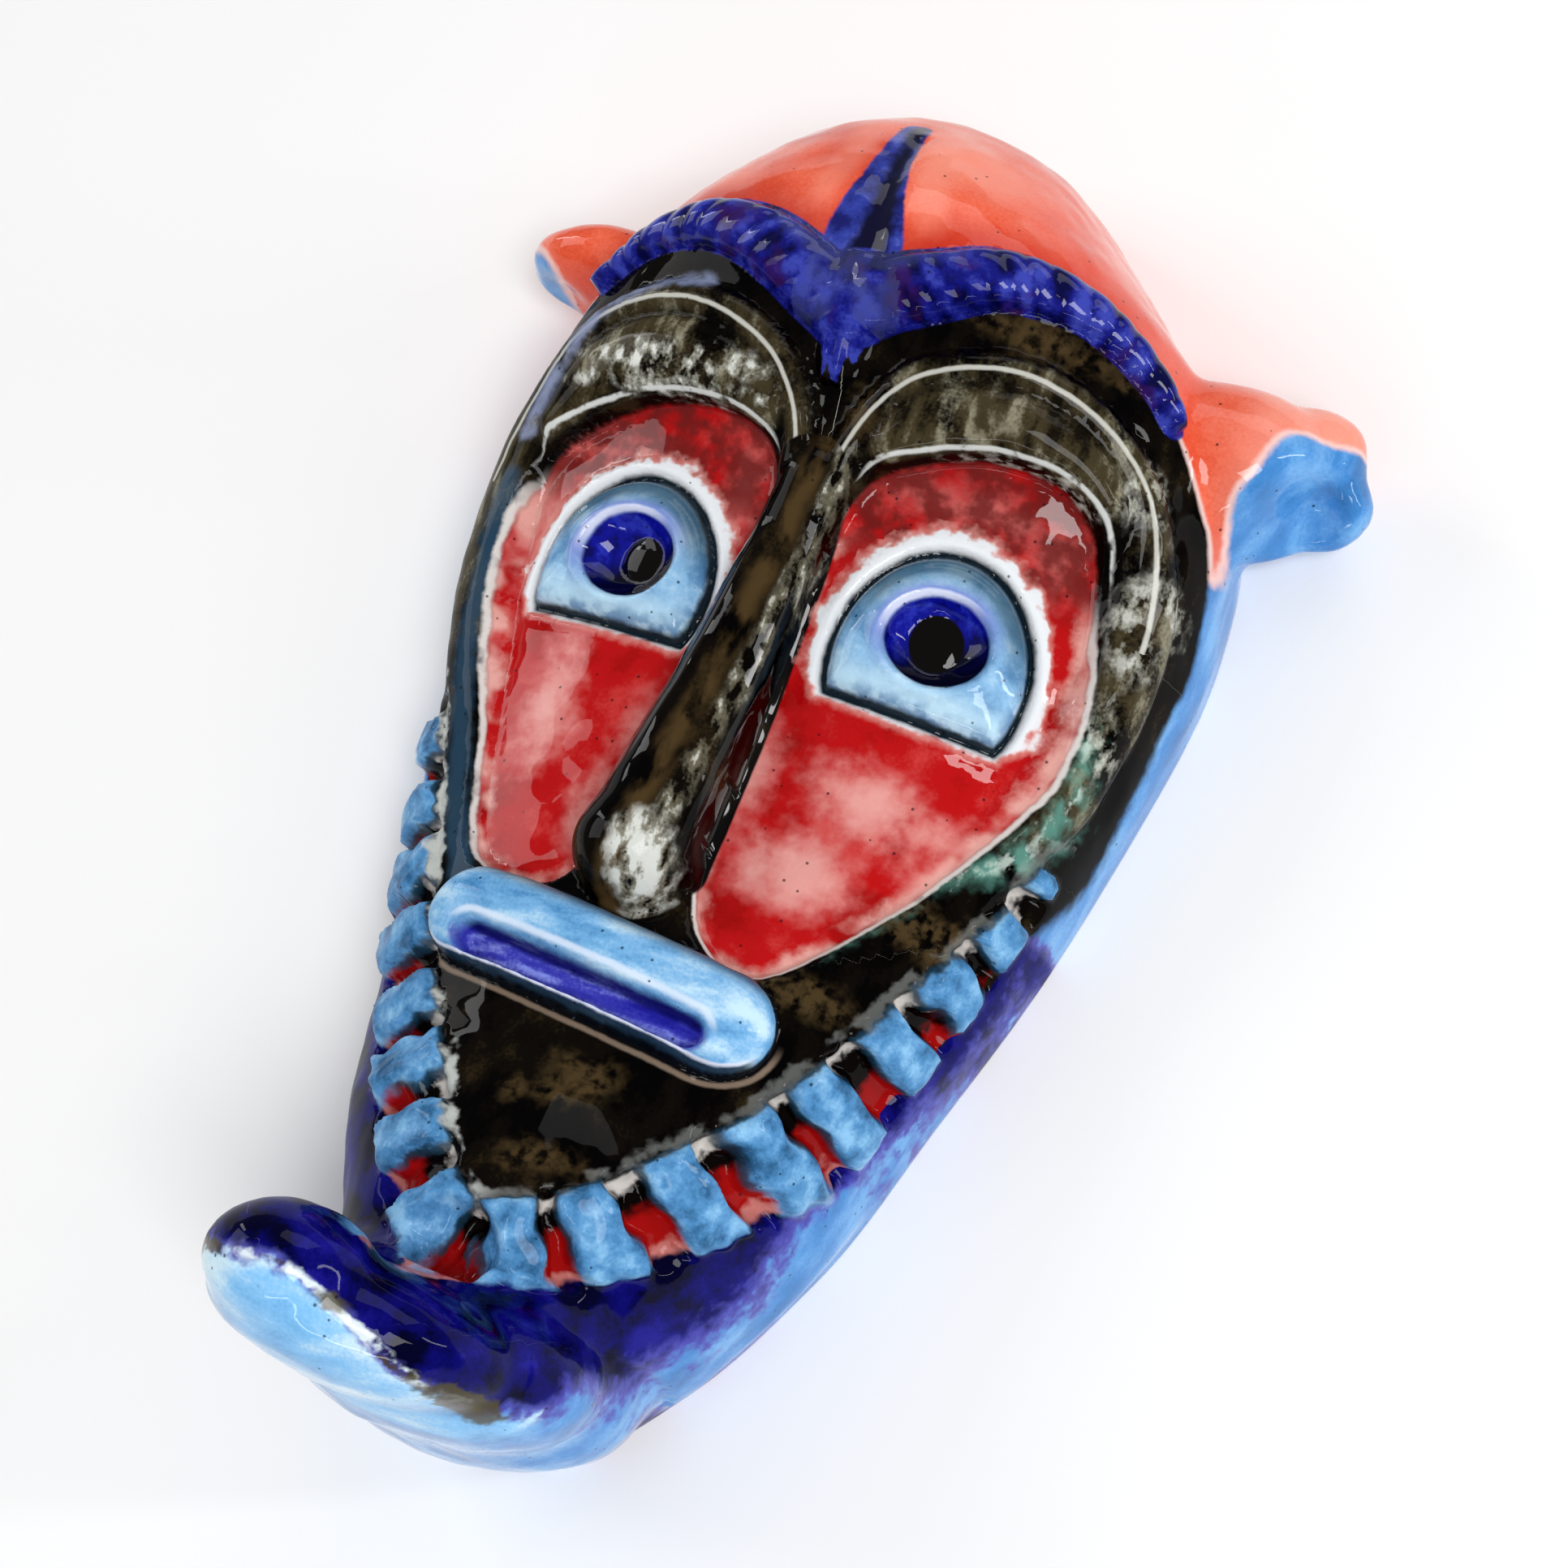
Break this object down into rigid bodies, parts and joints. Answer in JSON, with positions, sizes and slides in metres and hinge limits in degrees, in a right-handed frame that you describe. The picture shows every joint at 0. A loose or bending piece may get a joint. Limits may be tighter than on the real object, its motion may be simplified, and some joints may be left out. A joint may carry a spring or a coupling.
{
  "type": "ceramic wall mask",
  "caption": "Hollow glazed ceramic mask of a fantastic creature with a long face, round eyes, braided brow, flared ears, a toothed jaw and an upturned chin",
  "frame": {"origin": "centre of the bounding box in X and Y, on the plane of the back rim that the mask lies on", "axes": "+X to the viewer's right, +Y from the chin to the crown, +Z out of the face"},
  "size_m": [0.2162, 0.3314, 0.1154],
  "materials": {
    "glazed_clay": "glossy glaze on fired clay, mainly cobalt and light blue with red, orange and black areas"
  },
  "bodies": {
    "root": {"mask": "glazed_clay"}
  },
  "joints": []
}
